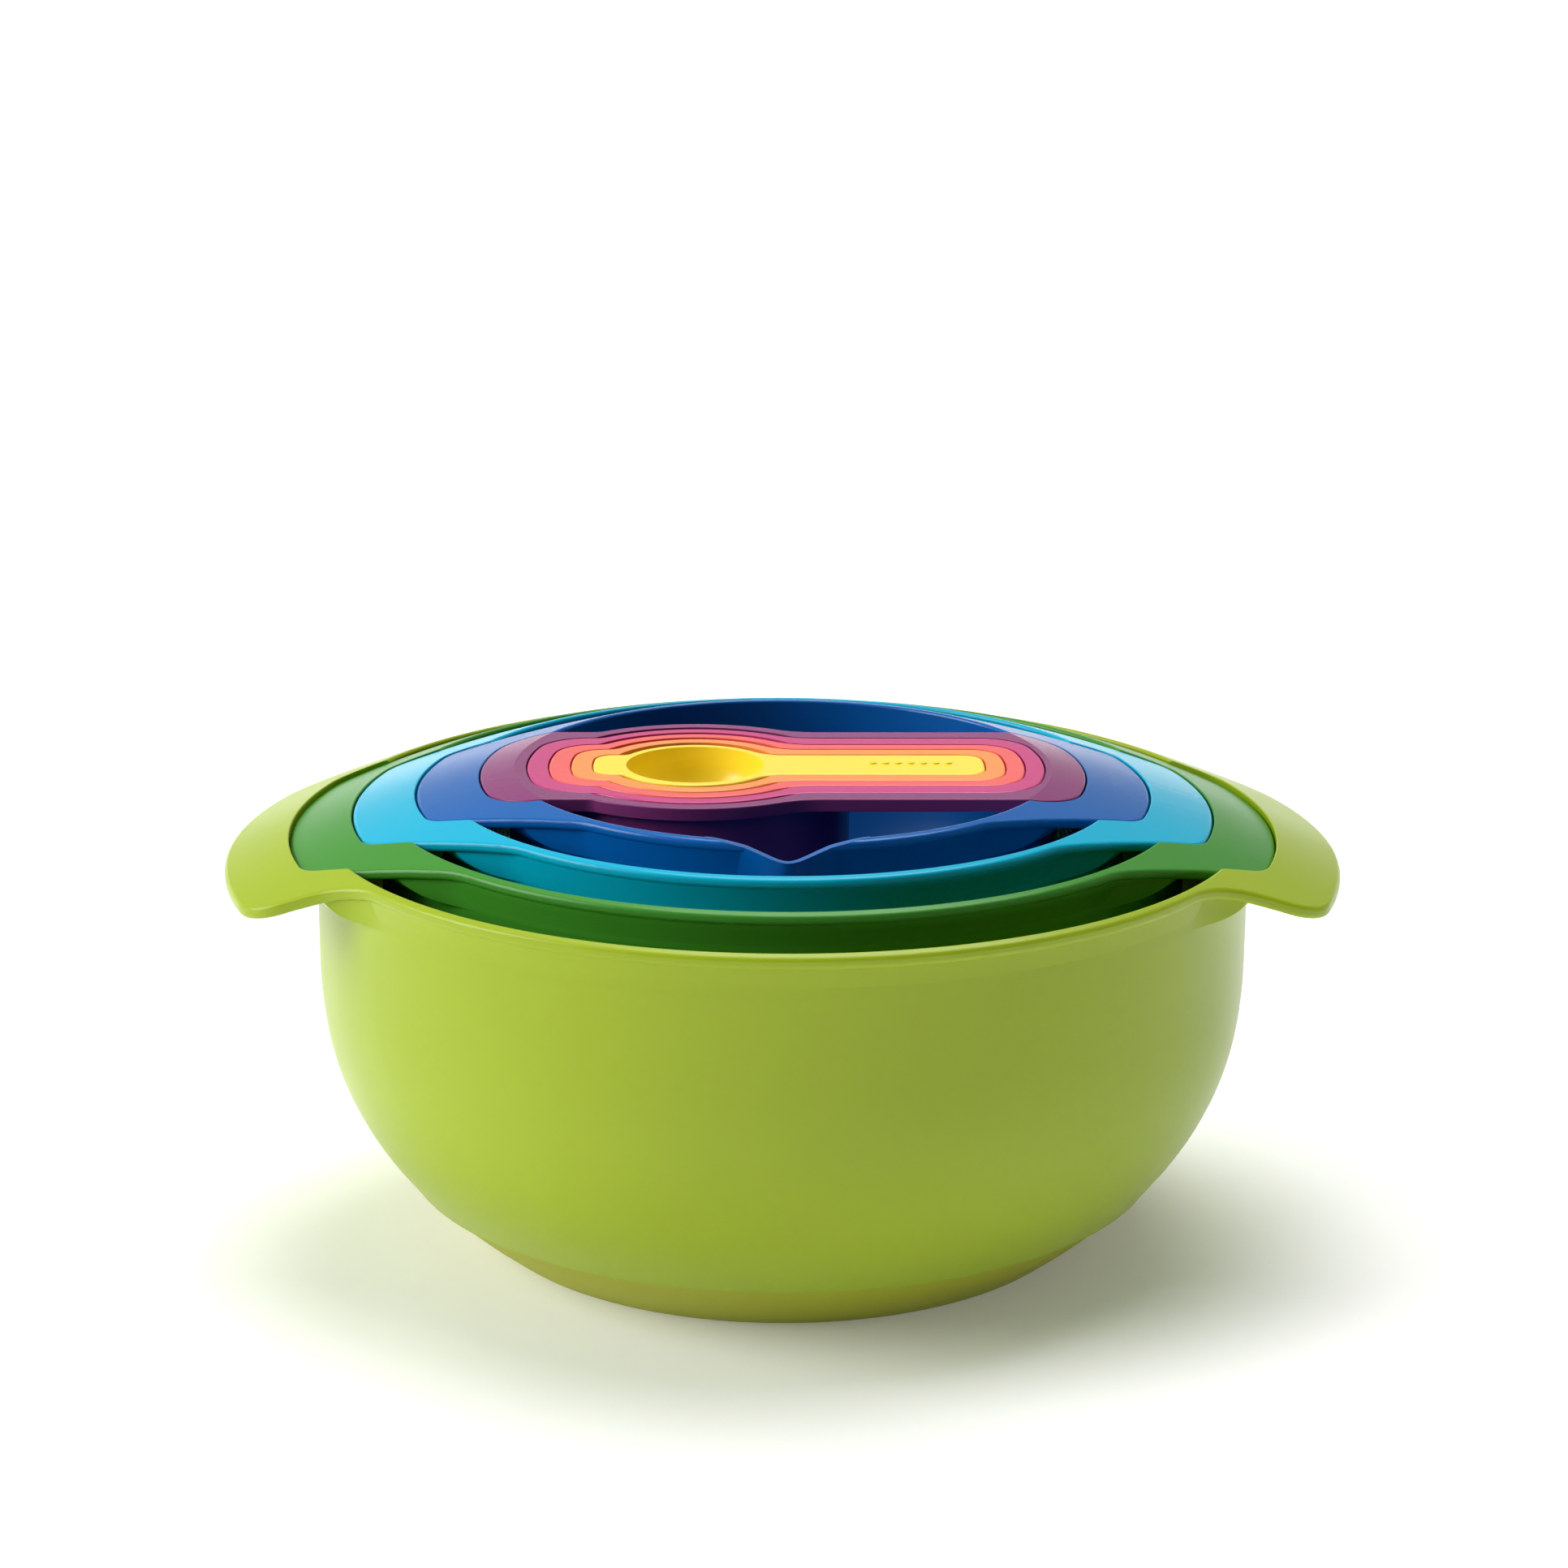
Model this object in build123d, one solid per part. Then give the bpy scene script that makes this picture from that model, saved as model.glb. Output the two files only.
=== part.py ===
from build123d import *
import math
import os

os.makedirs("parts", exist_ok=True)

# A nesting kitchen set: nine vessels that share one crowned top surface. Each vessel's two handles
# drop flush into a recess in the handles of the next larger vessel, and it lifts straight out.
# Millimetres, +Z up, +X along the handles, origin on the bench under the bowls' common axis.

# ---- driving dimensions ----------------------------------------------------------------------------
NEST_GAP = 0.5            # clearance around and under a handle that lies in its recess
RECESS_WALL = 2.2         # plastic left under and around a recess
RIM_WIDTH = 2.9           # rim seen from above
RIM_FLARE = 1.4           # how far the rim stands out past the wall
FLARE_HEIGHT = 14.0
RIM_ROUND = 0.8           # rounding of the rim's inner edge
RECESS_ROUND = 0.3        # rounding of a recess's upper edge
FULLNESS = 2.55           # power of the bowls' side curve: 2 is a parabola, more is rounder
GUSSET = 8.0              # hollow blend between a handle's underside and the wall
FLOOR = 2.4
SEAM_STEP = 0.7           # a soft base lies this much inside the bowl above it

LARGE_BASE = 2.2          # thickness of the large bowl's soft base
LARGE_SEAM = 18.0         # its top edge
SEAM_LIP = 0.8            # the bowl's lower edge stands out this much over the base
SEAM_LIP_HEIGHT = 5.0
MEASURE_BASE = 1.8
MEASURE_SEAM = 77.0
BASE_OPENING = 0.68       # share of the bottom radius left open in a base ring

MESH_THICKNESS = 0.8
FRAME_LOWER_EDGE = 102.0
MESH_UPPER_EDGE = 110.0
FRAME_BEAD = 1.2          # thicker lower edge of the frame, outside

FOOT_RADIUS = 64.0        # the colander's foot ring
FOOT_WIDTH = 3.0
FOOT_HEIGHT = 5.0
HOLE_DIAMETER = 4.6
HOLE_PITCH = 11.0
WALL_SLOTS = 28
SLOT_LENGTH = 22.0
SLOT_WIDTH = 4.0
SLOT_HEIGHT = 44.0        # middle of the wall slots

SPOUT_WIDTH = 45.0
SPOUT_REACH = 8.5         # past the rim
SPOUT_DIP = 4.0           # the lip drops this much
SPOUT_DEPTH = 30.0        # the channel runs out into the wall this far below the rim
SPOUT_WALL = 2.2
# Shares of the spout's depth, width and reach at each of its sections, from the bottom up.
SPOUT_SECTIONS = ((1.0, 0.25, 0.0), (0.5, 0.68, 0.42), (0.0, 1.0, 1.0))

CUP_TOP = 134.0           # the cups' flat top
CUP_AXIS_X = -25.0        # the cups sit off centre, so that their long handles run to +X
CUP_PLATE = 1.6           # rim and handle plate
CUP_LAYER_GAP = 0.3       # clearance between stacked handles
CUP_SIDE_GAP = 0.4        # clearance beside a nested handle
CUP_STEP = 1.2            # side wall of a handle's recess
CUP_WALL = 1.6
CUP_OVERHANG = 2.6        # the rim stands out past the cup's wall
GRIP_PIPS = 7             # raised pips on the smallest handle
GRIP_PITCH = 3.6
GRIP_START_X = 25.5
GRIP_HEIGHT = 0.35

ABOVE_ALL = 160.0         # clear over the whole set, for cutters
BELOW_HANDLES = 70.0      # clear under every bowl's handles, for cutters


class Bowl:
    """Sizes of one round vessel with a wing handle on each side."""

    def __init__(self, rim, tip, plate, wall, bottom, curve_height, corner_angle, side_slope, root_radius):
        self.rim_radius, self.rim_height = rim          # opening
        self.reach, self.tip_height = tip               # handle tip
        self.plate = plate                              # handle thickness
        self.wall = wall
        self.bottom_radius, self.bottom_height = bottom
        self.curve_height = curve_height                # the side is straight above this
        self.corner_angle = math.radians(corner_angle)  # where the handle's side meets its tip arc
        self.side_slope = side_slope                    # how fast the handle widens towards the rim
        self.root_radius = root_radius                  # hollow corner between handle and rim
        self.corner_radius = 0.1 * self.reach
        self.rim_outer = self.rim_radius + RIM_WIDTH
        self.wall_radius = self.rim_outer - RIM_FLARE
        squares = self.rim_radius ** 2 + self.rim_height ** 2 - self.reach ** 2 - self.tip_height ** 2
        self.crown_centre = squares / (2 * (self.rim_height - self.tip_height))
        self.crown_radius = math.hypot(self.rim_radius, self.rim_height - self.crown_centre)

    def side_radius(self, height):
        """Outer radius of the curved side at a height."""
        left = 1 - (height - self.bottom_height) / self.curve_height
        return self.wall_radius - (self.wall_radius - self.bottom_radius) * left ** FULLNESS

    def crown_height(self, radius, drop=0.0):
        """Height of the vessel's crowned top surface, or of a layer under it, at a radius."""
        return self.crown_centre + math.sqrt((self.crown_radius - drop) ** 2 - radius ** 2)


LARGE = Bowl((131.0, 120.3), (158.4, 109.2), 3.6, 2.4, (88.0, 0.0), 85.0, 23.4, 0.18, 30.0)
COLANDER = Bowl((112.8, 125.6), (139.8, 115.3), 3.0, 2.3, (74.0, 13.0), 82.0, 20.3, 0.62, 45.0)
SIEVE = Bowl((95.6, 129.9), (122.1, 122.0), 3.0, 2.3, (50.0, 30.0), 74.0, 19.6, 0.60, 40.0)
MEASURE = Bowl((76.5, 134.0), (104.2, 127.2), 3.0, 2.3, (50.0, 69.0), 48.0, 20.3, 0.50, 30.0)


class Cup:
    """Sizes of one measuring cup with a short tab at -X and a long handle at +X."""

    def __init__(self, rim_outer, half_width, left, right, depth, bottom_radius, overhang=CUP_OVERHANG):
        self.rim_outer = rim_outer
        self.half_width = half_width
        self.left = left
        self.right = right
        self.depth = depth
        self.bottom_radius = bottom_radius     # rounding between wall and floor, inside
        self.wall_radius = rim_outer - overhang
        self.inner_radius = self.wall_radius - CUP_WALL


# From the smallest to the largest, so that a cup's place in the list counts the handles above it.
CUPS = {
    "tablespoon": Cup(22.4, 10.7, 54.1, 57.5, 15.0, 11.0, 1.1),
    "cup_quarter": Cup(28.9, 17.0, 60.3, 63.3, 29.0, 9.0),
    "cup_third": Cup(34.8, 22.5, 66.6, 68.8, 31.0, 9.0),
    "cup_half": Cup(40.6, 30.0, 72.8, 74.4, 33.0, 10.0),
    "cup_one": Cup(46.6, 37.0, 86.0, 86.0, 49.0, 12.0),
}


# ---- shared shapes ---------------------------------------------------------------------------------
def turned(edges):
    """Turns a closed outline of (radius, height) edges about the Z axis."""
    return revolve(Plane.XZ * make_face(edges), Axis.Z)


def upright(plan, bottom, top):
    """A plan outline extruded between two heights."""
    return extrude(Pos(0, 0, bottom) * plan, top - bottom)


def disc(radius, bottom, top):
    """A round slab on the Z axis."""
    return upright(Circle(radius), bottom, top)


def bowl_form(bowl, inset, floor, deeper=0.0):
    """The full round form inside the bowl's outer surface moved inwards by inset, and by more low down."""
    spread = bowl.wall_radius - bowl.bottom_radius
    curve = []
    for k in range(8):
        s = k / 7
        slope = spread * FULLNESS * (1 - s) ** (FULLNESS - 1) / bowl.curve_height
        step = (inset + deeper * (1 - s) ** 2) / math.hypot(1, slope)
        radius = bowl.wall_radius - spread * (1 - s) ** FULLNESS
        curve.append((radius - step, bowl.bottom_height + s * bowl.curve_height + step * slope))
    first_slope = spread * FULLNESS / bowl.curve_height
    foot = (curve[0][0] + (floor - curve[0][1]) * first_slope, floor)
    sides = [foot] + [point for point in curve if point[1] > floor + 1]
    shoulder = (bowl.wall_radius - inset, bowl.rim_height - FLARE_HEIGHT)
    lip = (bowl.rim_outer if inset == 0 else bowl.rim_radius, bowl.rim_height)
    return turned([
        Line((0, floor), foot),
        Spline(*sides, tangents=[(first_slope, 1), (0, 1)]),
        Line(sides[-1], shoulder),
        Spline(shoulder, lip, tangents=[(0, 1), (1.5 * (lip[0] - shoulder[0]), FLARE_HEIGHT)]),
        Line(lip, (lip[0], ABOVE_ALL)),
        Line((lip[0], ABOVE_ALL), (0, ABOVE_ALL)),
        Line((0, ABOVE_ALL), (0, floor)),
    ])


def crown_layer(bowl, top_drop, bottom_drop):
    """Spherical layer that follows the bowl's top surface, between two depths below it."""
    near, far = bowl.rim_radius - 20, bowl.reach + 10
    middle = (near + far) / 2
    upper = [(r, bowl.crown_height(r, top_drop)) for r in (near, middle, far)]
    lower = [(r, bowl.crown_height(r, bottom_drop)) for r in (far, middle, near)]
    return turned([
        ThreePointArc(*upper),
        Line(upper[2], lower[0]),
        ThreePointArc(*lower),
        Line(lower[2], upper[0]),
    ])


def handle_plan(bowl):
    """Outline from above: the round rim with a wing handle on each side."""
    corner_x = bowl.reach * math.cos(bowl.corner_angle)
    corner_y = bowl.reach * math.sin(bowl.corner_angle)
    slope = bowl.side_slope
    run = (corner_x - slope * corner_y) / (1 + slope ** 2)   # to the side line's nearest point to the axis
    near = (corner_x - run, corner_y + slope * run)
    far = (bowl.reach + 5, corner_y - slope * (bowl.reach + 5 - corner_x))
    outline = [(0, 0), near, far, (far[0], -far[1]), (near[0], -near[1]), (0, 0)]
    wing = make_face(Polyline(*outline)) & Circle(bowl.reach)
    tips = [v for v in wing.vertices() if v.X > 0.8 * bowl.reach]
    wing = fillet(tips, bowl.corner_radius)
    plan = Circle(bowl.rim_outer) + wing + mirror(wing, Plane.YZ)
    on_rim = [v for v in plan.vertices() if abs(math.hypot(v.X, v.Y) - bowl.rim_outer) < 0.01]
    roots = [v for v in on_rim if abs(v.Y) > 5]
    return fillet(roots, bowl.root_radius)


def outline_edges(plate, inner_radius):
    """The edges that run along a plate's outer outline, top and bottom."""
    found = []
    for edge in plate.edges():
        middle = edge @ 0.5
        if math.hypot(middle.X, middle.Y) > inner_radius and abs((edge % 0.5).Z) < 0.8:
            found.append(edge)
    return found


def top_circle(plate, bowl):
    """The inner edge of the rim."""
    return [e for e in plate.edges() if abs((e @ 0.5).Z - bowl.rim_height) < 0.3 and e.geom_type == GeomType.CIRCLE]


def recess_edges(solid, bowl, room_plan):
    """The edges where the handles' top surface meets the walls of their recesses."""
    outline = room_plan.wires()[0]
    found = []
    for edge in solid.edges():
        middle = edge @ 0.5
        radius = math.hypot(middle.X, middle.Y)
        on_crown = radius < bowl.reach and abs(middle.Z - bowl.crown_height(radius)) < 0.02
        if on_crown and outline.distance_to(Vector(middle.X, middle.Y, 0)) < 0.05:
            found.append(edge)
    return found


def gusset_ring(bowl):
    """Hollow-curved ring in the corner between the wall and the underside of the handles."""
    drop = bowl.plate - 0.5
    near, far = bowl.wall_radius - 0.6, bowl.wall_radius + GUSSET
    upper_near, upper_far = bowl.crown_height(near, drop), bowl.crown_height(far, drop)
    foot = (near, upper_near - GUSSET)
    ring = turned([
        Line((near, upper_near), foot),
        RadiusArc(foot, (far, upper_far - 0.5), -1.05 * GUSSET),
        Line((far, upper_far - 0.5), (far, upper_far)),
        Line((far, upper_far), (near, upper_near)),
    ])
    return ring & upright(offset(handle_plan(bowl), -1.2), BELOW_HANDLES, ABOVE_ALL)


def nesting_bowl(bowl, outer, cavity, child_plan, child_crown, child_plate):
    """Wall, crowned rim and handles in one, with the recess that the next vessel's handles drop into."""
    under_crown = Pos(0, 0, bowl.crown_centre) * Sphere(bowl.crown_radius - 1)
    wall = (outer - cavity) & under_crown
    plan = handle_plan(bowl)
    plate = upright(plan, BELOW_HANDLES, ABOVE_ALL) & crown_layer(bowl, 0, bowl.plate)
    plate = fillet(outline_edges(plate, bowl.rim_radius), 0.38 * bowl.plate) - cavity
    plate = fillet(top_circle(plate, bowl), RIM_ROUND)
    grow = NEST_GAP + RECESS_WALL
    pan_plan = offset(child_plan, grow) & offset(plan, -0.8)
    pan = upright(pan_plan, BELOW_HANDLES, ABOVE_ALL) & crown_layer(child_crown, 1, child_plate + grow)
    solid = wall + plate + gusset_ring(bowl) + (pan - cavity)
    room_plan = offset(child_plan, NEST_GAP)
    room = upright(room_plan, BELOW_HANDLES, ABOVE_ALL)
    solid = solid - (room & crown_layer(child_crown, -12, child_plate + NEST_GAP))
    return fillet(recess_edges(solid, bowl, room_plan), RECESS_ROUND)


def base_ring(bowl, thickness, seam):
    """Soft base: the lower part of the bowl's outer skin, open in the middle."""
    skin = bowl_form(bowl, SEAM_STEP, bowl.bottom_height) - bowl_form(bowl, thickness, bowl.bottom_height + thickness)
    skin = skin & disc(bowl.rim_outer, bowl.bottom_height - 1, seam)
    return skin - disc(BASE_OPENING * bowl.bottom_radius, bowl.bottom_height - 1, seam)


def based_outer(bowl, thickness, seam):
    """Outer form of a bowl that stands in a soft base, with a small lip over the base's edge."""
    upper = bowl_form(bowl, 0, bowl.bottom_height) & disc(bowl.rim_outer + 1, seam, ABOVE_ALL)
    lip_top = seam + SEAM_LIP_HEIGHT
    top_radius = bowl.side_radius(lip_top)
    edge, rounding = bowl.side_radius(seam) + SEAM_LIP, SEAM_LIP / 2
    lip = turned([
        Line((edge - 4, seam), (edge - rounding, seam)),
        RadiusArc((edge - rounding, seam), (edge, seam + rounding), -rounding),
        Line((edge, seam + rounding), (top_radius, lip_top)),
        Line((top_radius, lip_top), (top_radius - 3, lip_top)),
        Line((top_radius - 3, lip_top), (edge - 4, seam)),
    ])
    return upper + bowl_form(bowl, thickness, bowl.bottom_height + thickness) + lip


# ---- measuring cups --------------------------------------------------------------------------------
def cup_plan(cup):
    """Outline from above: a round rim on a straight strip with rounded ends."""
    reach = (cup.left + cup.right) / 2
    ends = Pos((cup.right - cup.left) / 2, 0) * Circle(reach)
    strip = Rectangle(4 * reach, 2 * cup.half_width) & ends
    strip = fillet(strip.vertices(), 0.5 * cup.half_width)
    plan = strip + Pos(CUP_AXIS_X, 0) * Circle(cup.rim_outer)
    for side, radius in ((-1, 1 + 0.1 * cup.rim_outer), (1, 0.5 * cup.rim_outer)):
        joint_x = CUP_AXIS_X + side * math.sqrt(cup.rim_outer ** 2 - cup.half_width ** 2)
        joints = [v for v in plan.vertices() if abs(v.X - joint_x) < 0.01]
        plan = fillet(joints, radius)
    return plan


def cup_form(radius, floor, corner):
    """Round cup form on its own axis, from its floor up past the cup's top."""
    form = turned([
        Line((0, floor), (radius - corner, floor)),
        RadiusArc((radius - corner, floor), (radius, floor + corner), -corner),
        Line((radius, floor + corner), (radius, ABOVE_ALL)),
        Line((radius, ABOVE_ALL), (0, ABOVE_ALL)),
        Line((0, ABOVE_ALL), (0, floor)),
    ])
    return Pos(CUP_AXIS_X, 0, 0) * form


def layer_bottom(layers):
    """Underside height of a handle that lies under so many others."""
    return CUP_TOP - CUP_PLATE - layers * (CUP_PLATE + CUP_LAYER_GAP)


def room_growth(layers):
    """How far a recess stands outside the outline of the handle that many layers further in."""
    return layers * CUP_SIDE_GAP + (layers - 1) * CUP_STEP


def flat_plate(plan):
    """Rim and handle of a cup whose handle lies inside a larger cup's handle."""
    plate = upright(plan, CUP_TOP - CUP_PLATE, CUP_TOP)
    return fillet(plate.faces().sort_by(Axis.Z)[-1].edges(), 0.6)


def crowned_plate(plan, lip):
    """Rim and handle of the outermost cup: flat inside the measuring bowl, crowned like it past the rim."""
    crown = Pos(0, 0, MEASURE.crown_centre) * Sphere(MEASURE.crown_radius)
    underside = Pos(0, 0, MEASURE.crown_centre) * Sphere(MEASURE.crown_radius - lip)
    underside = underside & disc(2 * MEASURE.reach, 0, CUP_TOP - lip)
    plate = upright(plan, BELOW_HANDLES, CUP_TOP) & crown
    top_edges = []
    for edge in outline_edges(plate, 0):
        middle = edge @ 0.5
        radius = math.hypot(middle.X, middle.Y)
        if middle.Z > CUP_TOP - 5 and abs(radius - MEASURE.rim_radius) > 0.01:
            top_edges.append(edge)
    return fillet(top_edges, 0.4) - underside


def measuring_cup(place, plans, plate):
    """The cup at a place in the nest: its plate, the round cup, and the stepped recess for the smaller cups."""
    cup = list(CUPS.values())[place]
    solid = plate
    for inner in range(place):
        layers = place - inner
        step = offset(plans[inner], room_growth(layers) + CUP_STEP)
        solid = solid + (upright(step, layer_bottom(layers), CUP_TOP - 1) & upright(plans[place], 0, ABOVE_ALL))
    floor = CUP_TOP - cup.depth
    wall = cup_form(cup.wall_radius, floor - CUP_WALL, cup.bottom_radius + CUP_WALL)
    solid = solid + (wall & upright(Circle(200), 0, CUP_TOP - 1))
    solid = solid - cup_form(cup.inner_radius, floor, cup.bottom_radius)
    for inner in range(place):
        layers = place - inner
        room = offset(plans[inner], room_growth(layers))
        solid = solid - upright(room, layer_bottom(layers - 1) - CUP_LAYER_GAP, ABOVE_ALL)
    return solid


# ---- parts -----------------------------------------------------------------------------------------
def large_bowl(child_plan):
    outer = based_outer(LARGE, LARGE_BASE, LARGE_SEAM)
    cavity = bowl_form(LARGE, LARGE.wall, LARGE_BASE + FLOOR, 3.0)
    return nesting_bowl(LARGE, outer, cavity, child_plan, COLANDER, COLANDER.plate)


def colander(child_plan):
    outer = bowl_form(COLANDER, 0, COLANDER.bottom_height)
    cavity = bowl_form(COLANDER, COLANDER.wall, COLANDER.bottom_height + FLOOR)
    solid = nesting_bowl(COLANDER, outer, cavity, child_plan, SIEVE, SIEVE.plate)
    foot_top = COLANDER.bottom_height + 0.5
    foot = disc(FOOT_RADIUS + FOOT_WIDTH, foot_top - FOOT_HEIGHT, foot_top)
    solid = solid + (foot - disc(FOOT_RADIUS, foot_top - FOOT_HEIGHT - 1, foot_top))
    holes = []
    for ring in range(6):
        radius = ring * HOLE_PITCH
        count = max(1, 6 * ring)
        holes += [loc * Circle(HOLE_DIAMETER / 2) for loc in PolarLocations(radius, count)]
    drill = extrude(Pos(0, 0, COLANDER.bottom_height - 5) * Sketch(children=holes), 15)
    slot = Plane.YZ * SlotOverall(SLOT_LENGTH, SLOT_WIDTH, rotation=90)
    cutter = Pos(80, 0, SLOT_HEIGHT) * extrude(slot, 40)
    for k in range(WALL_SLOTS):
        solid = solid - Rot(0, 0, (k + 0.5) * 360 / WALL_SLOTS) * cutter
    return solid - drill


def sieve_frame(child_plan):
    outer = bowl_form(SIEVE, 0, SIEVE.bottom_height)
    bead = disc(SIEVE.wall_radius + FRAME_BEAD, FRAME_LOWER_EDGE, FRAME_LOWER_EDGE + 4)
    bead = fillet(bead.edges(), 1.1)
    cavity = bowl_form(SIEVE, SIEVE.wall, SIEVE.bottom_height)
    solid = nesting_bowl(SIEVE, outer, cavity, child_plan, MEASURE, MEASURE.plate)
    solid = solid & disc(SIEVE.reach + 5, FRAME_LOWER_EDGE, ABOVE_ALL)
    return solid + (bead - cavity)


def sieve_mesh():
    outer = bowl_form(SIEVE, SIEVE.wall, SIEVE.bottom_height)
    inner = bowl_form(SIEVE, SIEVE.wall + MESH_THICKNESS, SIEVE.bottom_height + MESH_THICKNESS)
    return (outer - inner) & disc(SIEVE.rim_outer, 0, MESH_UPPER_EDGE)


def spout_form(inset):
    """Round-nosed channel that grows out of the wall and opens at the rim, moved inwards by inset."""
    root = MEASURE.rim_radius - 10
    sections = []
    for depth, width, reach in SPOUT_SECTIONS:
        half = 0.5 * SPOUT_WIDTH * width - inset
        nose = MEASURE.wall_radius + reach * (SPOUT_REACH + RIM_FLARE) - inset
        shoulder = math.sqrt(MEASURE.wall_radius ** 2 - (half + inset) ** 2) - inset
        section = make_face([
            Line((half, -root), (-half, -root)),
            Line((-half, -root), (-half, -shoulder)),
            Spline((-half, -shoulder), (0, -nose), (half, -shoulder), tangents=[(1, -0.15), (1, 0.15)]),
            Line((half, -shoulder), (half, -root)),
        ])
        sections.append(Pos(0, 0, MEASURE.rim_height + 1 - depth * SPOUT_DEPTH) * section)
    return loft(sections)


def measuring_bowl(child_plan, child_lip):
    outer = based_outer(MEASURE, MEASURE_BASE, MEASURE_SEAM)
    cavity = bowl_form(MEASURE, MEASURE.wall, MEASURE.bottom_height + MEASURE_BASE + FLOOR, 2.0)
    solid = nesting_bowl(MEASURE, outer, cavity, child_plan, MEASURE, child_lip)
    below_rim = upright(Circle(MEASURE.reach), 0, MEASURE.rim_height - 0.2)
    solid = solid + ((spout_form(0) & below_rim) - cavity)
    solid = solid - spout_form(SPOUT_WALL)
    half, level = SPOUT_WIDTH / 2 + 2, MEASURE.rim_height
    dip = Plane.XZ * make_face([
        Spline((-half, level), (0, level - SPOUT_DIP), (half, level), tangents=[(1, 0), (1, 0)]),
        Line((half, level), (half, level + 10)),
        Line((half, level + 10), (-half, level + 10)),
        Line((-half, level + 10), (-half, level)),
    ])
    return solid - extrude(Pos(0, -60, 0) * dip, 60)


def tablespoon(plans):
    solid = measuring_cup(0, plans, flat_plate(plans[0]))
    for k in range(GRIP_PIPS):
        pip = Pos(GRIP_START_X + k * GRIP_PITCH, 1.5, CUP_TOP - 0.3) * Cylinder(1.2, 0.6 + 2 * GRIP_HEIGHT)
        solid = solid + pip
    return solid


cup_plans = [cup_plan(cup) for cup in CUPS.values()]
outer_lip = 2 * CUP_PLATE + CUP_LAYER_GAP
parts = {
    "large_bowl_shell": large_bowl(handle_plan(COLANDER)),
    "large_bowl_base": base_ring(LARGE, LARGE_BASE, LARGE_SEAM),
    "colander": colander(handle_plan(SIEVE)),
    "sieve_frame": sieve_frame(handle_plan(MEASURE)),
    "sieve_mesh": sieve_mesh(),
    "measuring_bowl_shell": measuring_bowl(cup_plans[-1], outer_lip),
    "measuring_bowl_base": base_ring(MEASURE, MEASURE_BASE, MEASURE_SEAM),
    "tablespoon": tablespoon(cup_plans),
    "cup_quarter": measuring_cup(1, cup_plans, flat_plate(cup_plans[1])),
    "cup_third": measuring_cup(2, cup_plans, flat_plate(cup_plans[2])),
    "cup_half": measuring_cup(3, cup_plans, flat_plate(cup_plans[3])),
    "cup_one": measuring_cup(4, cup_plans, crowned_plate(cup_plans[4], outer_lip)),
}
for name, solid in parts.items():
    export_step(solid, f"parts/{name}.step")
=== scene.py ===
import math

import bpy
from mathutils import Matrix, Vector
from mathutils.bvhtree import BVHTree


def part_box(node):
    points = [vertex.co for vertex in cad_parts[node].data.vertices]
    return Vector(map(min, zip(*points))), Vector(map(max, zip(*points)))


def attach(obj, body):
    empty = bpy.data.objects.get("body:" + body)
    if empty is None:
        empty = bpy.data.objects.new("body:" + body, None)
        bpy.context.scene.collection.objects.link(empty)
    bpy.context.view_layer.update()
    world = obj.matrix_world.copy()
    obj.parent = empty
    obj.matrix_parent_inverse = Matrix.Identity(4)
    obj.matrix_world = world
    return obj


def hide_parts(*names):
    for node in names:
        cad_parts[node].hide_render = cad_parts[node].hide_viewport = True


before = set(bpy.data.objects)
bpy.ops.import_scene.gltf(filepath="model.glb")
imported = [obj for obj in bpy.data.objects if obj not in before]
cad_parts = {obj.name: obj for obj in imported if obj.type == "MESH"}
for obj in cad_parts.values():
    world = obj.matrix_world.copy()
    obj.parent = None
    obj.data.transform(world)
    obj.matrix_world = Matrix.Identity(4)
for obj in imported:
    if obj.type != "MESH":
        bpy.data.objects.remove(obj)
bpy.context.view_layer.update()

MM = 0.001


# ---- shader helpers --------------------------------------------------------------------------------
def new_material(name):
    """A material with its nodes, its links and its surface shader."""
    material = bpy.data.materials.new(name)
    material.use_nodes = True
    nodes = material.node_tree.nodes
    return material, nodes, material.node_tree.links, nodes["Principled BSDF"]


def value_range(nodes, low, high, from_low=0.0, from_high=1.0):
    """Node that maps from_low..from_high to low..high."""
    node = nodes.new("ShaderNodeMapRange")
    node.inputs["From Min"].default_value = from_low
    node.inputs["From Max"].default_value = from_high
    node.inputs["To Min"].default_value = low
    node.inputs["To Max"].default_value = high
    return node


def two_tone(nodes, dark, light, start=0.0, end=1.0):
    """Node that blends between two colours."""
    node = nodes.new("ShaderNodeValToRGB")
    node.color_ramp.elements[0].position = start
    node.color_ramp.elements[0].color = dark
    node.color_ramp.elements[1].position = end
    node.color_ramp.elements[1].color = light
    return node


def noise(nodes, links, place, size, detail):
    """Noise output whose features are about the given size in metres."""
    node = nodes.new("ShaderNodeTexNoise")
    node.inputs["Scale"].default_value = 1 / size
    node.inputs["Detail"].default_value = detail
    links.new(place.outputs["Object"], node.inputs["Vector"])
    return node.outputs["Fac"]


# ---- camera ----------------------------------------------------------------------------------------
CAMERA_DISTANCE = 1007.7 * MM      # on the floor plan, from the bowls' axis
CAMERA_HEIGHT = 403.8 * MM
CAMERA_PITCH = math.radians(15.295)
CAMERA_YAW = math.radians(1.05)    # the set stands turned this far from square to the camera
CAMERA_ROLL = math.radians(0.30)
CAMERA_SIDE = 0.3 * MM
LENS = 84.0
SENSOR = 36.0
VIEW_END = 40.0


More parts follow.
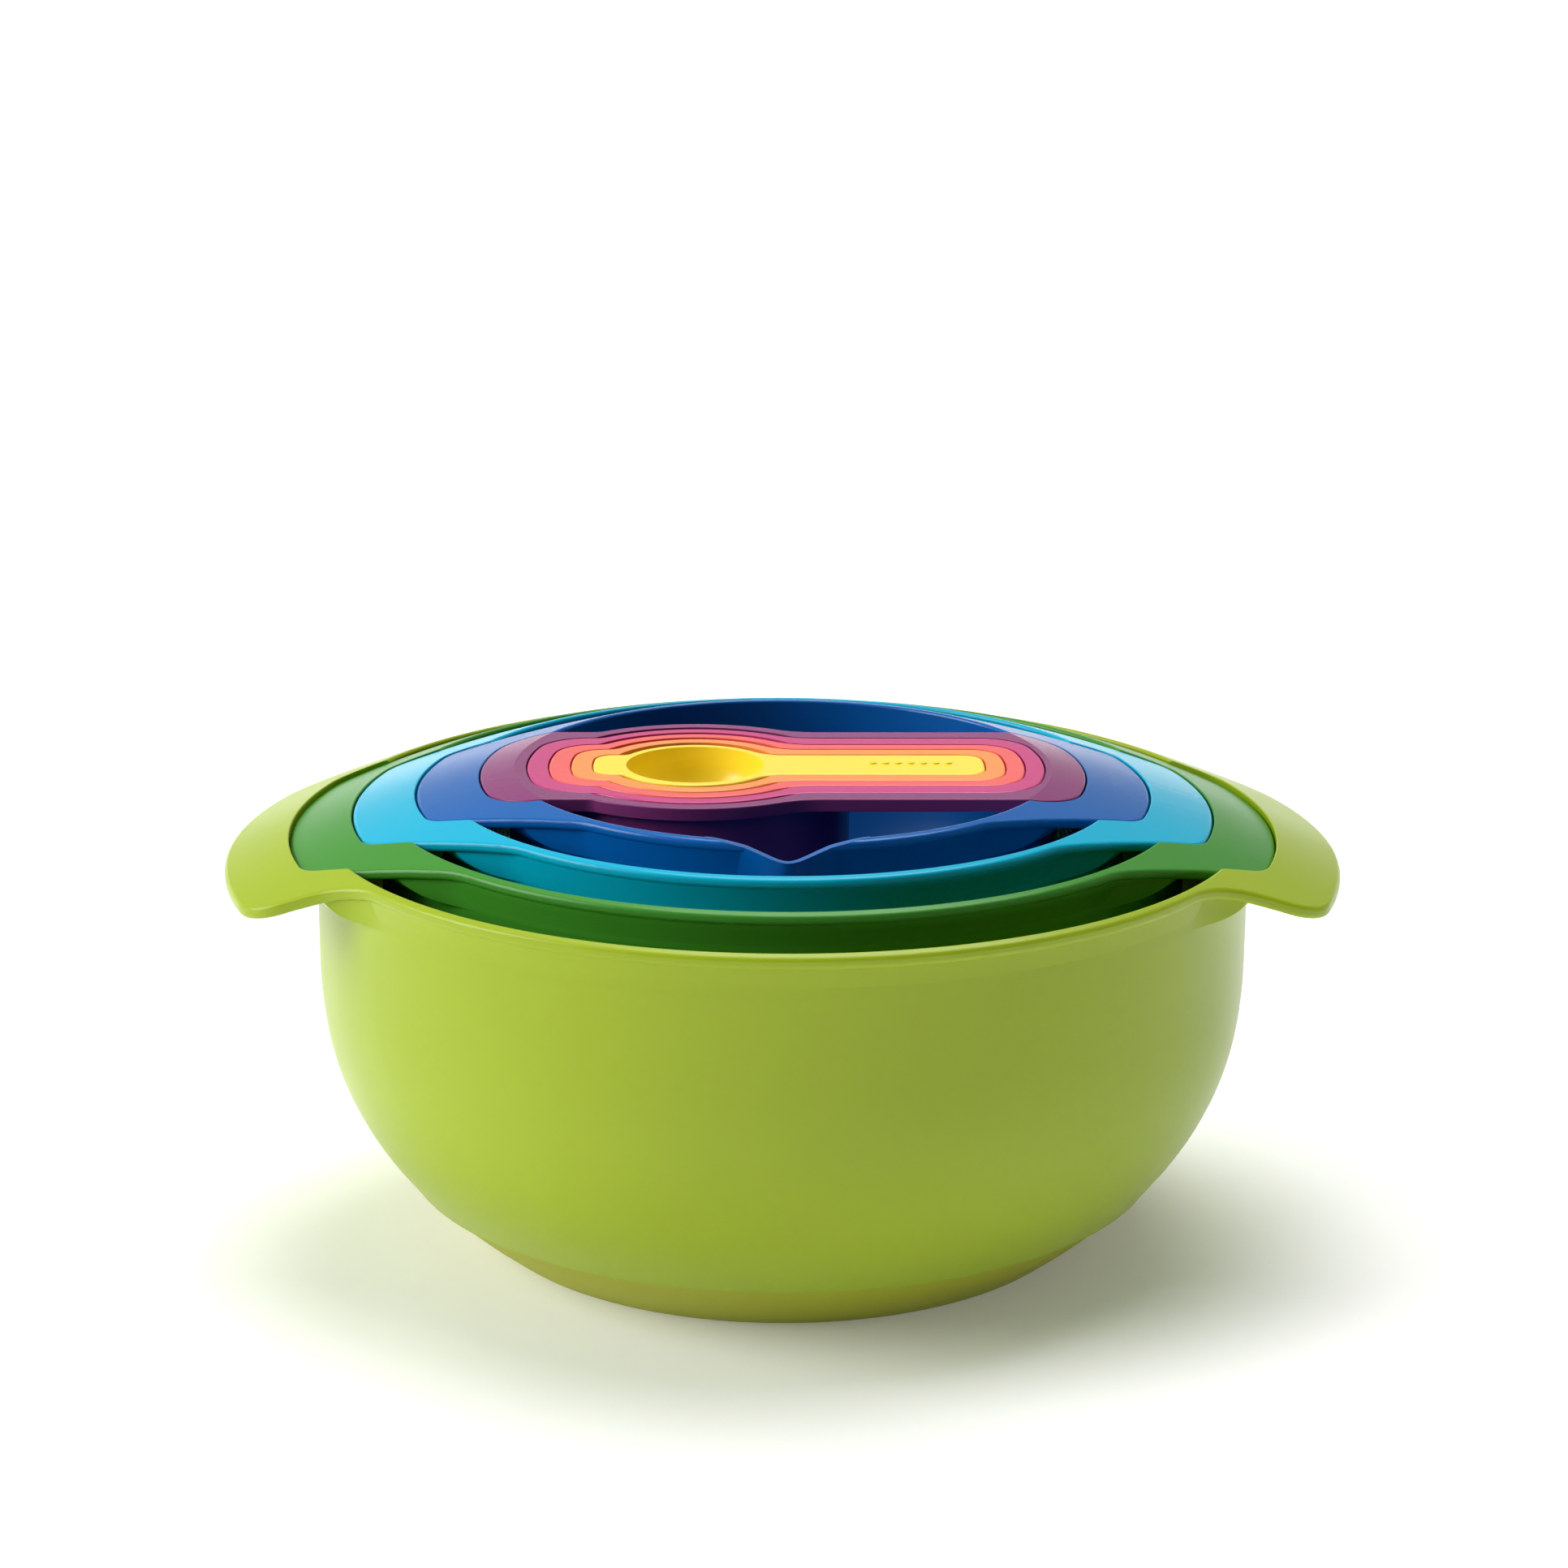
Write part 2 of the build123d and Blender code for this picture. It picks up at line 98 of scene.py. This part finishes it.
def make_camera():
    """A long lens a little above the rims, looking down at the set's front."""
    data = bpy.data.cameras.new("camera")
    data.lens = LENS
    data.sensor_width = SENSOR
    data.clip_end = VIEW_END
    camera = bpy.data.objects.new("camera", data)
    bpy.context.scene.collection.objects.link(camera)
    place = Vector((CAMERA_SIDE, -CAMERA_DISTANCE, CAMERA_HEIGHT))
    turn = Matrix.Rotation(-CAMERA_YAW, 4, "Z")
    tilt = Matrix.Rotation(math.pi / 2 - CAMERA_PITCH, 4, "X")
    roll = Matrix.Rotation(CAMERA_ROLL, 4, "Z")
    camera.matrix_world = turn @ Matrix.Translation(place) @ tilt @ roll
    bpy.context.scene.camera = camera


make_camera()

# ---- studio ----------------------------------------------------------------------------------------
bpy.context.scene.view_settings.view_transform = "Standard"

AIR_BRIGHT, AIR_DARK = 0.42, 0.0
AIR_FROM = (-0.5, 0.86, 0.0)       # the air is brightest on this side and darkest opposite it
LIGHTS = {
    # name: (strength, direction it comes from, angular size in degrees)
    "key": (2.5, (-1.0, -0.12, 0.5), 40),
    "top": (2.45, (0.1, 0.3, 1.0), 44),
}
FLOOR_HALF = 9.0          # metres, as are the sweep's sizes
FLOOR_FRONT = -9.0
SWEEP_START = 0.62        # the floor starts to curve up this far behind the set
SWEEP_END = 1.95
SWEEP_RISE = 0.36
SWEEP_STEPS = 24
SWEEP_GLOW = 0.45
TABLE_GLOW = 0.14         # the table is lit a little from below
GLOW_HEIGHT = SWEEP_RISE / 3       # the glow grows from the table's to the sweep's up to here
BOARD_ROUGHNESS = 0.75
BOARD_DARK, BOARD_LIGHT = (0.945, 0.945, 0.945, 1), (0.96, 0.96, 0.96, 1)
MOTTLE_SIZE = 1 / 9
MOTTLE_DETAIL = 2
WHITE = (1, 1, 1, 1)


def make_lights():
    """A big soft box at the left and another overhead, as broad distant lights."""
    for name, (strength, source, size) in LIGHTS.items():
        data = bpy.data.lights.new(name, "SUN")
        data.energy = strength
        data.angle = math.radians(size)
        lamp = bpy.data.objects.new(name, data)
        bpy.context.scene.collection.objects.link(lamp)
        lamp.rotation_euler = Vector(source).to_track_quat("Z", "Y").to_euler()


def make_world():
    """Even studio air that is brightest behind the set and darkest beside the camera."""
    world = bpy.data.worlds.new("studio")
    bpy.context.scene.world = world
    world.use_nodes = True
    nodes, links = world.node_tree.nodes, world.node_tree.links
    place = nodes.new("ShaderNodeTexCoord")
    along = nodes.new("ShaderNodeVectorMath")
    along.operation = "DOT_PRODUCT"
    along.inputs[1].default_value = AIR_FROM
    side = value_range(nodes, AIR_DARK, AIR_BRIGHT, -1, 1)
    links.new(place.outputs["Generated"], along.inputs[0])
    links.new(along.outputs["Value"], side.inputs["Value"])
    links.new(side.outputs["Result"], nodes["Background"].inputs["Strength"])
    nodes["Background"].inputs["Color"].default_value = WHITE


def stage_white():
    """White board, very slightly mottled, lit from below and more so where it curves up behind."""
    material, nodes, links, shader = new_material("stage_white")
    shader.inputs["Roughness"].default_value = BOARD_ROUGHNESS
    place = nodes.new("ShaderNodeTexCoord")
    tone = two_tone(nodes, BOARD_DARK, BOARD_LIGHT)
    split = nodes.new("ShaderNodeSeparateXYZ")
    glow = value_range(nodes, TABLE_GLOW, SWEEP_GLOW, 0, GLOW_HEIGHT)
    glow.interpolation_type = "SMOOTHSTEP"
    links.new(noise(nodes, links, place, MOTTLE_SIZE, MOTTLE_DETAIL), tone.inputs["Fac"])
    links.new(tone.outputs["Color"], shader.inputs["Base Color"])
    links.new(place.outputs["Object"], split.inputs["Vector"])
    links.new(split.outputs["Z"], glow.inputs["Value"])
    shader.inputs["Emission Color"].default_value = WHITE
    links.new(glow.outputs["Result"], shader.inputs["Emission Strength"])
    return material


def make_stage():
    """One sheet: a wide flat floor that sweeps up gently behind the set."""
    rows = [(FLOOR_FRONT, 0.0)]
    for k in range(SWEEP_STEPS + 1):
        share = k / SWEEP_STEPS
        rows.append((SWEEP_START + share * (SWEEP_END - SWEEP_START), SWEEP_RISE * share ** 2))
    corners, faces = [], []
    for y, z in rows:
        corners += [(-FLOOR_HALF, y, z), (FLOOR_HALF, y, z)]
    for k in range(len(rows) - 1):
        faces.append((2 * k, 2 * k + 1, 2 * k + 3, 2 * k + 2))
    mesh = bpy.data.meshes.new("floor")
    mesh.from_pydata(corners, [], faces)
    mesh.shade_smooth()
    mesh.materials.append(stage_white())
    stage = bpy.data.objects.new("floor", mesh)
    bpy.context.scene.collection.objects.link(stage)


make_lights()
make_world()
make_stage()


# ---- materials -------------------------------------------------------------------------------------
def linear(red, green, blue):
    """Linear colour from display values of 0 to 1."""
    return tuple(c / 12.92 if c <= 0.04045 else ((c + 0.055) / 1.055) ** 2.4 for c in (red, green, blue))


def tinted(colour, factor):
    return tuple(min(1.0, c * factor) for c in colour) + (1,)


IOR = 1.49
DRIFT, DRIFT_SIZE = 0.02, 70 * MM           # slow change of colour over the moulding
POLISH, POLISH_SIZE = 0.08, 45 * MM         # slow change of roughness
RIPPLE_DEPTH, RIPPLE_SIZE = 0.1 * MM, 60 * MM
RIPPLE_STRENGTH, GRAIN_STRENGTH = 0.3, 0.5
HARD_GRAIN = (0.004 * MM, 0.5 * MM)         # depth and size of the mould's fine grain
SOFT_GRAIN = (0.05 * MM, 0.9 * MM)
NOISE_LOW, NOISE_HIGH = 0.3, 0.7            # most of a noise's values lie between these


def moulded_plastic(name, colour, roughness, mirroring, grain):
    """Moulded plastic: slow colour drift, uneven polish, fine mould grain and a faint ripple."""
    material, nodes, links, shader = new_material(name)
    shader.inputs["IOR"].default_value = IOR
    shader.inputs["Specular IOR Level"].default_value = mirroring
    place = nodes.new("ShaderNodeTexCoord")

    drift = two_tone(nodes, tinted(colour, 1 - DRIFT), tinted(colour, 1 + DRIFT), NOISE_LOW, NOISE_HIGH)
    links.new(noise(nodes, links, place, DRIFT_SIZE, 2), drift.inputs["Fac"])
    links.new(drift.outputs["Color"], shader.inputs["Base Color"])

    least, most = roughness * (1 - POLISH), roughness * (1 + POLISH)
    polish = value_range(nodes, least, most, NOISE_LOW, NOISE_HIGH)
    links.new(noise(nodes, links, place, POLISH_SIZE, 1), polish.inputs["Value"])
    links.new(polish.outputs["Result"], shader.inputs["Roughness"])

    grain_depth, grain_size = grain
    fine = nodes.new("ShaderNodeBump")
    fine.inputs["Distance"].default_value = grain_depth
    fine.inputs["Strength"].default_value = GRAIN_STRENGTH
    links.new(noise(nodes, links, place, grain_size, 3), fine.inputs["Height"])
    ripple = nodes.new("ShaderNodeBump")
    ripple.inputs["Distance"].default_value = RIPPLE_DEPTH
    ripple.inputs["Strength"].default_value = RIPPLE_STRENGTH
    links.new(noise(nodes, links, place, RIPPLE_SIZE, 0), ripple.inputs["Height"])
    links.new(fine.outputs["Normal"], ripple.inputs["Normal"])
    links.new(ripple.outputs["Normal"], shader.inputs["Normal"])
    return material


GLOSS, SATIN, SOFT = 0.26, 0.32, 0.55       # roughness
BRIGHT, MILD, DULL = 0.5, 0.34, 0.25        # how strongly the surface mirrors
# node: (colour, roughness, mirroring)
PLASTICS = {
    "large_bowl_shell": (linear(0.60, 0.685, 0.10), SATIN, MILD),
    "colander": (linear(0.23, 0.54, 0.15), SATIN, MILD),
    "sieve_frame": (linear(0.0, 0.67, 0.80), GLOSS, DULL),
    "measuring_bowl_shell": (linear(0.0, 0.36, 0.66), GLOSS, MILD),
    "cup_one": (linear(0.52, 0.21, 0.43), GLOSS, MILD),
    "cup_half": (linear(0.77, 0.20, 0.47), GLOSS, BRIGHT),
    "cup_third": (linear(0.93, 0.37, 0.35), GLOSS, BRIGHT),
    "cup_quarter": (linear(0.98, 0.58, 0.27), GLOSS, BRIGHT),
    "tablespoon": (linear(0.97, 0.87, 0.22), GLOSS, BRIGHT),
}
SOFT_BASES = {
    "large_bowl_base": linear(0.64, 0.66, 0.11),
    "measuring_bowl_base": linear(0.03, 0.18, 0.40),
}


def dress_nodes():
    for node, (colour, roughness, mirroring) in PLASTICS.items():
        material = moulded_plastic(node + "_plastic", colour, roughness, mirroring, HARD_GRAIN)
        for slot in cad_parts[node].material_slots:
            slot.material = material
    for node, colour in SOFT_BASES.items():
        material = moulded_plastic(node + "_elastomer", colour, SOFT, MILD, SOFT_GRAIN)
        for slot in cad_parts[node].material_slots:
            slot.material = material


dress_nodes()


STEEL_DARK, STEEL_LIGHT = (0.52, 0.52, 0.53, 1), (0.72, 0.72, 0.72, 1)
STEEL_SMOOTH, STEEL_DULL = 0.2, 0.38
STREAK_SIZE = 3 * MM


def wire_steel():
    """Drawn stainless wire: bright, with uneven polish along its length."""
    material, nodes, links, shader = new_material("woven_steel")
    shader.inputs["Metallic"].default_value = 1
    place = nodes.new("ShaderNodeTexCoord")
    streak = noise(nodes, links, place, STREAK_SIZE, 3)
    tone = two_tone(nodes, STEEL_DARK, STEEL_LIGHT)
    polish = value_range(nodes, STEEL_SMOOTH, STEEL_DULL)
    links.new(streak, tone.inputs["Fac"])
    links.new(tone.outputs["Color"], shader.inputs["Base Color"])
    links.new(streak, polish.inputs["Value"])
    links.new(polish.outputs["Result"], shader.inputs["Roughness"])
    return material


# ---- woven sieve -----------------------------------------------------------------------------------
WIRE_PITCH = 2.4 * MM
WIRE_RADIUS = 0.36 * MM
WIRE_SIDES = 4
PROFILE_STEPS = 48
PROFILE_BUNCHING = 1.5    # above 1 the steps are closer together low down, where the dish curves most
EDGE_MARGIN = 0.3 * MM    # the profile starts and ends this far inside the dish
SHORTEST_WIRE = 2         # in pitches each way from its middle


def dish_profile():
    """The sieve's middle surface as (radius, height, length along the curve), read from its CAD node."""
    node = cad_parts["sieve_mesh"]
    tree = BVHTree.FromObject(node, bpy.context.evaluated_depsgraph_get())
    low, high = (Vector(corner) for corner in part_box("sieve_mesh"))
    floor = tree.ray_cast(Vector((0, 0, high.z)), Vector((0, 0, -1)))[0].z
    middle = (floor + low.z) / 2
    skin = floor - middle
    points = [(0.0, middle)]
    for k in range(PROFILE_STEPS + 1):
        share = (k / PROFILE_STEPS) ** PROFILE_BUNCHING
        height = floor + EDGE_MARGIN + share * (high.z - floor - 2 * EDGE_MARGIN)
        hit = tree.ray_cast(Vector((0, 0, height)), Vector((1, 0, 0)))
        slope = math.hypot(hit[1].x, hit[1].z)
        points.append((hit[0].x + skin * abs(hit[1].x) / slope, height - skin * abs(hit[1].z) / slope))
    profile, length = [(0.0, middle, 0.0)], 0.0
    for (r0, z0), (r1, z1) in zip(points, points[1:]):
        length += math.hypot(r1 - r0, z1 - z0)
        profile.append((r1, z1, length))
    return profile


def on_dish(profile, u, v, lift):
    """The dish point that a flat cloth's point (u, v) is pressed to, lifted along the surface normal."""
    reach = math.hypot(u, v)
    for (r0, z0, s0), (r1, z1, s1) in zip(profile, profile[1:]):
        if reach <= s1:
            break
    share = (reach - s0) / (s1 - s0)
    length = math.hypot(r1 - r0, z1 - z0)
    radius = r0 + share * (r1 - r0) - lift * (z1 - z0) / length
    height = z0 + share * (z1 - z0) + lift * (r1 - r0) / length
    if reach == 0:
        return Vector((0, 0, height))
    return Vector((radius * u / reach, radius * v / reach, height))


def wire_tube(points, vertices, faces):
    """Adds a thin tube along the points."""
    start = len(vertices)
    for k, point in enumerate(points):
        along = (points[min(k + 1, len(points) - 1)] - points[max(k - 1, 0)]).normalized()
        side = along.cross(Vector((0, 0, 1)))
        side = side.normalized() if side.length > 1e-6 else Vector((1, 0, 0))
        up = side.cross(along)
        for n in range(WIRE_SIDES):
            angle = 2 * math.pi * n / WIRE_SIDES
            vertices.append(point + WIRE_RADIUS * (math.cos(angle) * side + math.sin(angle) * up))
    for k in range(len(points) - 1):
        for n in range(WIRE_SIDES):
            a = start + k * WIRE_SIDES + n
            b = start + k * WIRE_SIDES + (n + 1) % WIRE_SIDES
            faces.append((a, b, b + WIRE_SIDES, a + WIRE_SIDES))
    last = start + (len(points) - 1) * WIRE_SIDES
    faces.append(tuple(start + n for n in reversed(range(WIRE_SIDES))))
    faces.append(tuple(last + n for n in range(WIRE_SIDES)))


def weave_sieve():
    """Plain-woven wire cloth pressed into the sieve's dish."""
    profile = dish_profile()
    edge = profile[-1][2]
    count = int(edge / WIRE_PITCH)
    vertices, faces = [], []
    for across in (False, True):
        for i in range(-count, count + 1):
            offset = i * WIRE_PITCH
            half = int(math.sqrt(max(0.0, edge ** 2 - offset ** 2)) / WIRE_PITCH)
            if half < SHORTEST_WIRE:
                continue
            points = []
            for j in range(-half, half + 1):
                lift = WIRE_RADIUS * (1 if (i + j + across) % 2 else -1)
                u, v = (offset, j * WIRE_PITCH) if across else (j * WIRE_PITCH, offset)
                points.append(on_dish(profile, u, v, lift))
            wire_tube(points, vertices, faces)
    mesh = bpy.data.meshes.new("sieve_wires")
    mesh.from_pydata(vertices, [], faces)
    mesh.validate()
    mesh.shade_smooth()
    mesh.materials.append(wire_steel())
    cloth = bpy.data.objects.new("sieve_wires", mesh)
    bpy.context.scene.collection.objects.link(cloth)
    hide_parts("sieve_mesh")
    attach(cloth, "sieve")


weave_sieve()
